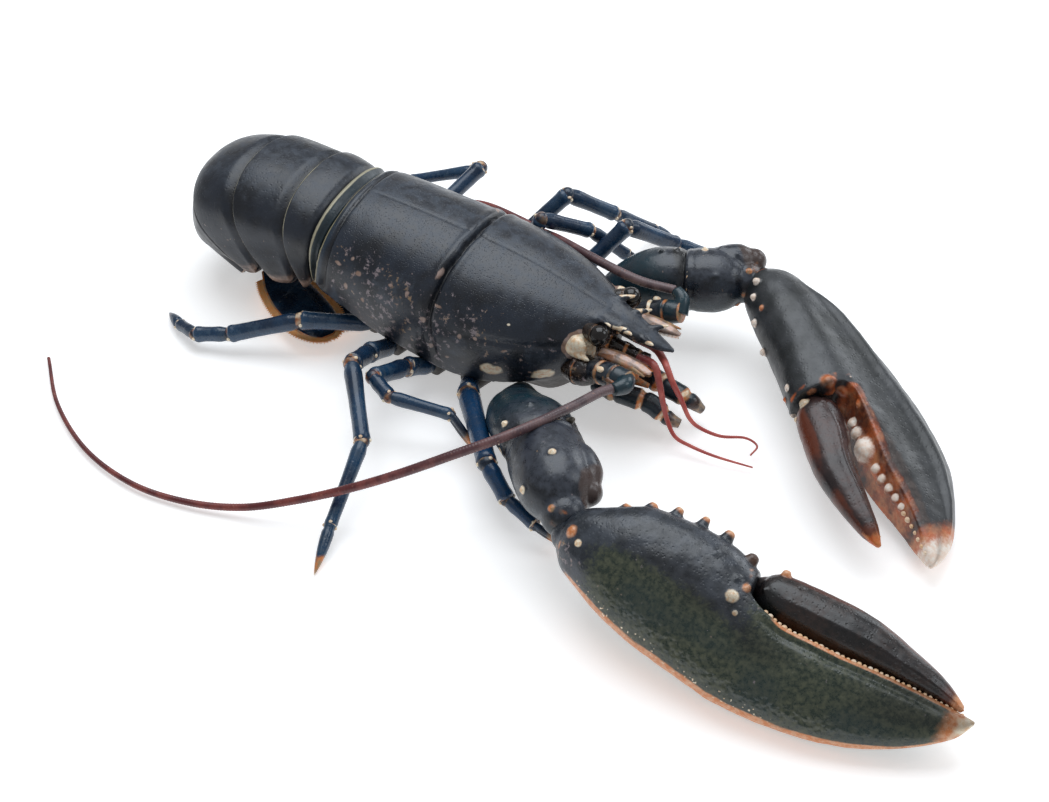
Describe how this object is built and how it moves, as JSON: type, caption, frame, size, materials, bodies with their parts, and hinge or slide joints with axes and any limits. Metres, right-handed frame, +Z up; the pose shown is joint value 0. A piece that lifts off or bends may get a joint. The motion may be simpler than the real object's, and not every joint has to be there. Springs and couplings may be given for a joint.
{
  "type": "lobster",
  "caption": "Whole raw lobster lying at rest, tail curled under, both claws forward, with bent walking legs and long curved antennae.",
  "frame": {"origin": "on the floor under the middle of the whole animal's bounding box, antennae and claws included", "axes": "+X from the tail towards the head and claws, +Y towards the animal's left, +Z up from the floor"},
  "size_m": [0.382, 0.2304, 0.0585],
  "materials": {
    "blue_black_shell": "smooth semi-gloss shell, nearly black with a blue-grey sheen and small cream flecks",
    "blue_leg_shell": "semi-gloss dark navy shell with tan and orange joints",
    "dark_underside": "dull dark brown breast plates",
    "black_eye": "glossy black",
    "red_antenna": "finely ringed maroon red"
  },
  "bodies": {
    "root": {"antenna_base_left": "blue_black_shell", "antenna_base_right": "blue_black_shell", "antenna_left": "red_antenna", "antenna_right": "red_antenna", "antenna_scale_left": "blue_black_shell", "antenna_scale_right": "blue_black_shell", "antennule_left": "red_antenna", "antennule_right": "red_antenna", "arm_left": "blue_black_shell", "arm_right": "blue_black_shell", "carapace": "blue_black_shell", "claw_left_finger": "blue_black_shell", "claw_left_palm": "blue_black_shell", "claw_right_finger": "blue_black_shell", "claw_right_palm": "blue_black_shell", "eye_left": "black_eye", "eye_right": "black_eye", "leg_left_2_lower": "blue_leg_shell", "leg_left_2_upper": "blue_leg_shell", "leg_left_3_lower": "blue_leg_shell", "leg_left_3_upper": "blue_leg_shell", "leg_left_4_lower": "blue_leg_shell", "leg_left_4_upper": "blue_leg_shell", "leg_left_5_lower": "blue_leg_shell", "leg_left_5_upper": "blue_leg_shell", "leg_right_2_lower": "blue_leg_shell", "leg_right_2_upper": "blue_leg_shell", "leg_right_3_lower": "blue_leg_shell", "leg_right_3_upper": "blue_leg_shell", "leg_right_4_lower": "blue_leg_shell", "leg_right_4_upper": "blue_leg_shell", "leg_right_5_lower": "blue_leg_shell", "leg_right_5_upper": "blue_leg_shell", "maxilliped_left": "blue_black_shell", "maxilliped_right": "blue_black_shell", "tail_ring_1": "blue_black_shell", "tail_ring_2": "blue_black_shell", "tail_ring_3": "blue_black_shell", "tail_ring_4": "blue_black_shell", "tail_ring_5": "blue_black_shell", "tail_ring_6": "blue_black_shell", "telson": "blue_leg_shell", "thorax_underside": "dark_underside", "uropod_left_inner": "blue_leg_shell", "uropod_left_outer": "blue_leg_shell", "uropod_right_inner": "blue_leg_shell", "uropod_right_outer": "blue_leg_shell", "wrist_left": "blue_black_shell", "wrist_right": "blue_black_shell"}
  },
  "joints": []
}
